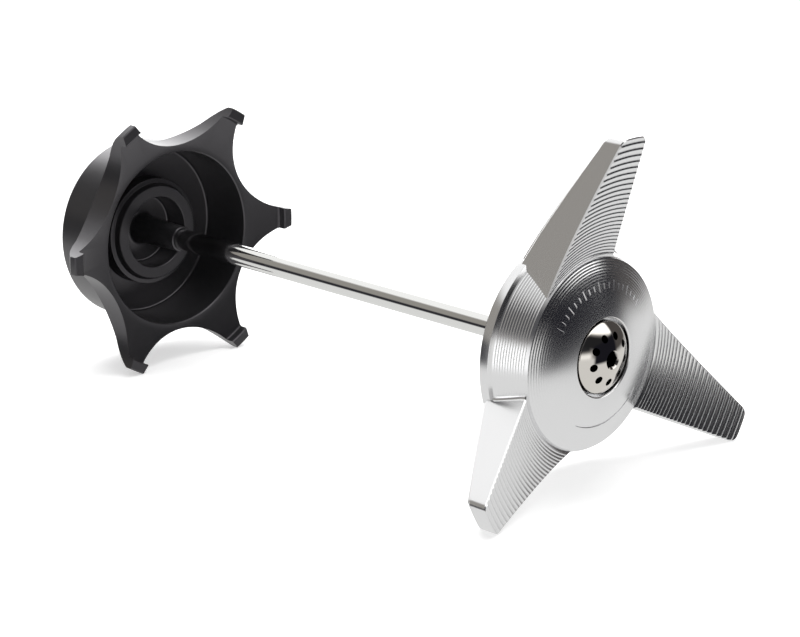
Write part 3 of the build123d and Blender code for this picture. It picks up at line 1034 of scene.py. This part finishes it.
def build_floor():
    """White floor that keeps the shadow; the metal mirrors the studio's table instead."""
    corners = [(FLOOR_HALF * x, FLOOR_HALF * y, 0) for x, y in ((-1, -1), (1, -1), (1, 1), (-1, 1))]
    mesh = bpy.data.meshes.new("floor")
    mesh.from_pydata(corners, [], [(0, 1, 2, 3)])
    floor = link("floor", mesh)
    material = bpy.data.materials.new("floor_white")
    tree = Tree(material)
    path = tree.add("ShaderNodeLightPath")
    diffuse = tree.add("ShaderNodeBsdfDiffuse", {"Color": (0.9, 0.9, 0.9)})
    glow = tree.add("ShaderNodeEmission", {
        "Color": (1.0, 1.0, 1.0),
        "Strength": tree.maths("MULTIPLY", path.outputs["Is Camera Ray"], FLOOR_GLOW),
    })
    tree.surface(tree.add("ShaderNodeAddShader", {0: diffuse.outputs[0], 1: glow.outputs[0]}))
    mesh.materials.append(material)
    floor.visible_glossy = False


def build_lamp():
    """One large soft light above, turned to the object and not seen in the metal."""
    lamp = bpy.data.lights.new("softbox", "AREA")
    lamp.shape = "RECTANGLE"
    lamp.size, lamp.size_y = SOFTBOX_SIZE
    lamp.energy = SOFTBOX_POWER
    holder = link("softbox", lamp)
    holder.location = SOFTBOX_PLACE
    holder.rotation_euler = (-holder.location).to_track_quat("-Z", "Y").to_euler()
    holder.visible_glossy = False


def build_camera(placing):
    """Camera at the photograph's place, turned with the axle line as the part stands here."""
    camera = bpy.data.cameras.new("camera")
    camera.sensor_width = 36.0
    camera.lens = PHOTO_FOCAL / PHOTO_WIDTH * camera.sensor_width
    camera.clip_start = 0.01
    camera.clip_end = 20.0
    turn = Matrix(CAMERA_TURN)
    shift = Vector(CAMERA_SHIFT) * MM
    from_view = (Matrix.Diagonal((1, -1, -1)) @ turn).transposed()
    place = -(turn.transposed() @ shift)
    upright = Matrix.Rotation(math.radians(-CAMERA_UPRIGHT), 4, "Z")
    holder = link("camera", camera)
    holder.matrix_world = placing @ upright @ (Matrix.Translation(place) @ from_view.to_4x4())
    bpy.context.scene.camera = holder


def axle_placing():
    """Where the axle frame lies in the row frame, from the bolt's joint."""
    joint = next(entry for entry in frame["joints"] if entry["name"] == "bolt_turn")
    along = Vector(joint["axis"]).normalized()
    up = Vector((-along.z, 0, along.x)).normalized()
    left = along.cross(up)
    placing = Matrix((up, left, along)).transposed().to_4x4()
    placing.translation = Vector(joint["pos_m"]) - along * ROD_START * MM
    return placing


placing = axle_placing()
spinner_metal = machined_material()
# The head's colour carries painted shade in its holes and socket.
head_metal = polished_material("polished_head", (0.72, 0.69, 0.65), 0.03, with_hole_shade=True)
rod_metal = polished_material("polished_rod", (0.80, 0.80, 0.79), 0.06)
cap_metal = anodised_material()
pieces = [
    (build_spinner(), "spinner", "spinner", "machined_aluminium", spinner_metal),
    (build_head(), "bolt", "head_screw", "polished_head", head_metal),
    (build_rod(), "bolt", "rod", "polished_rod", rod_metal),
    (build_cap(), "cap", "cap", "black_anodised", cap_metal),
]
for piece, body, node, slot, material in pieces:
    piece.matrix_world = placing
    piece.data.materials.clear()
    piece.data.materials.append(material)
    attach(piece, body)
    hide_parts(node)

studio_world()
build_floor()
build_lamp()
build_camera(placing)
bpy.context.scene.view_settings.view_transform = "Standard"
